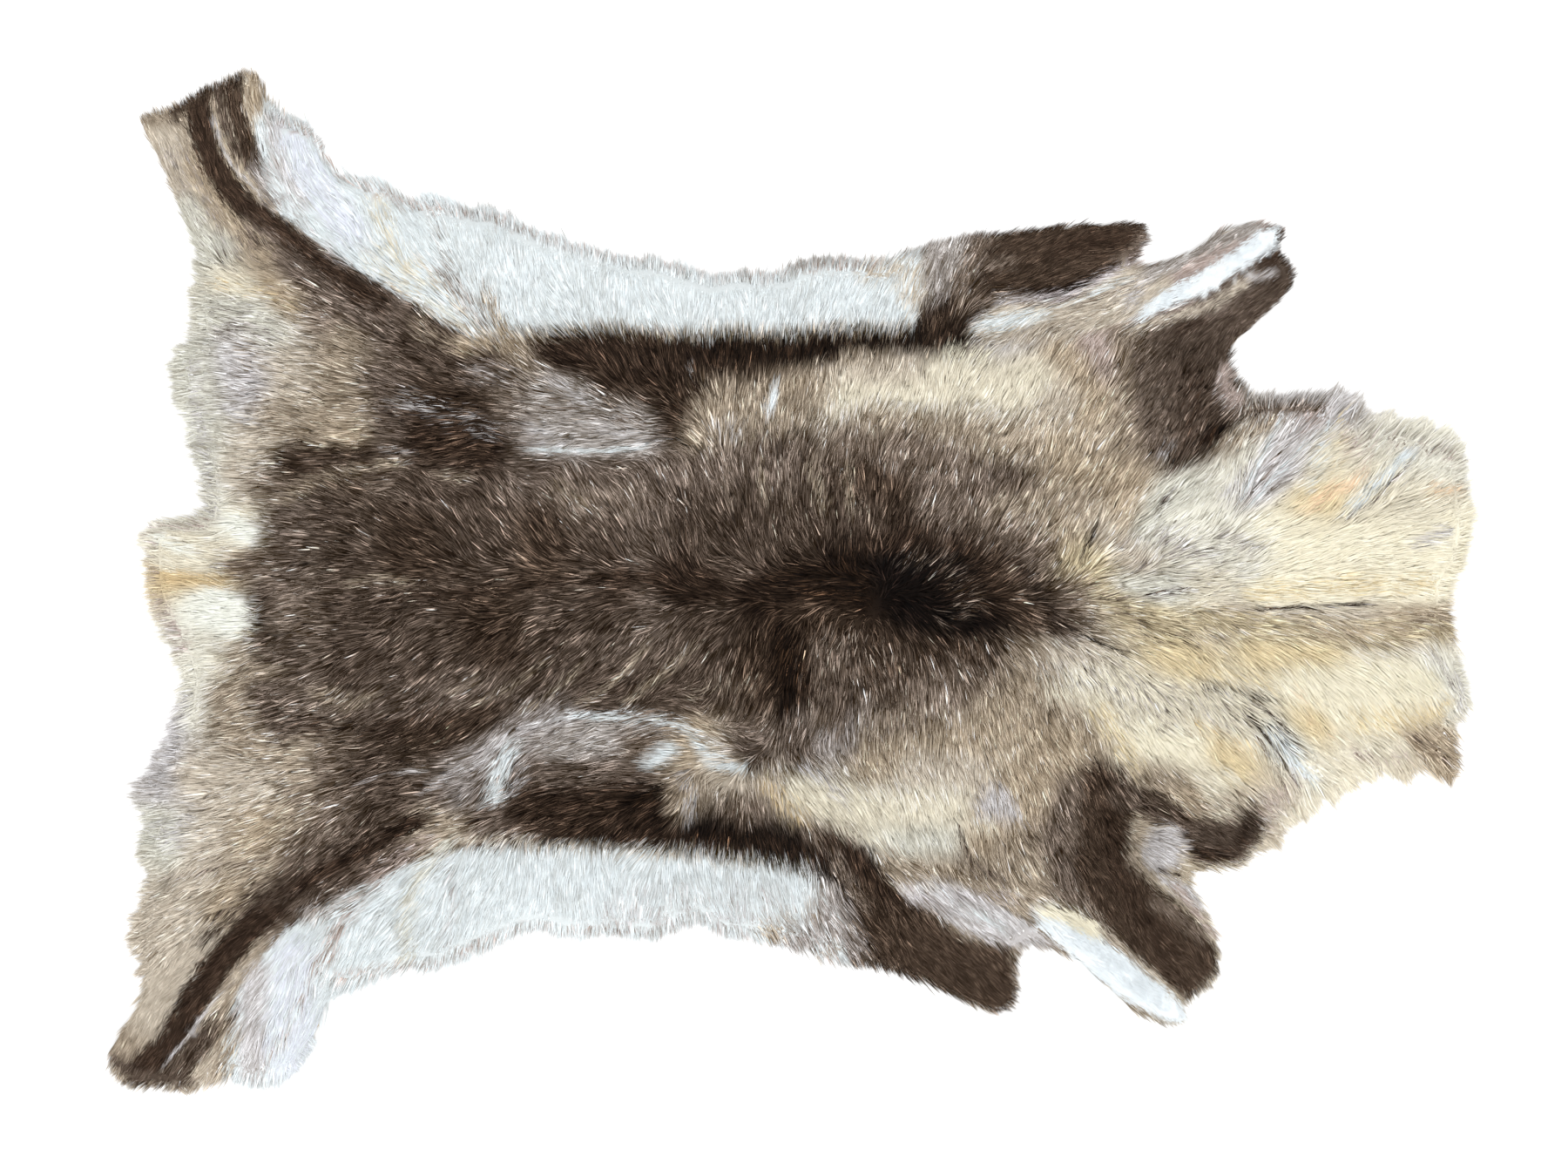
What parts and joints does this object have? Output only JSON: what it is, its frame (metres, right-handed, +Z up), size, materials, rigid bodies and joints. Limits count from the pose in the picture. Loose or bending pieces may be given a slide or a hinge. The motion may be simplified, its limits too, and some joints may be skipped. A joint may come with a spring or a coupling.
{
  "type": "reindeer hide",
  "caption": "Tanned reindeer hide with its hair on, lying flat: body, neck, tail and leg skins in one piece, with locks of hair at its rim.",
  "frame": {"origin": "on the floor under the middle of the hide's bounding box", "axes": "+X from the tail to the neck, +Y to the animal's left, +Z up from the floor through the skin to the hair"},
  "size_m": [1.2594, 0.94, 0.0315],
  "materials": {
    "hair": "natural reindeer hair, dull, dark brown to cream and white"
  },
  "bodies": {
    "root": {"hide": "hair"}
  },
  "joints": []
}
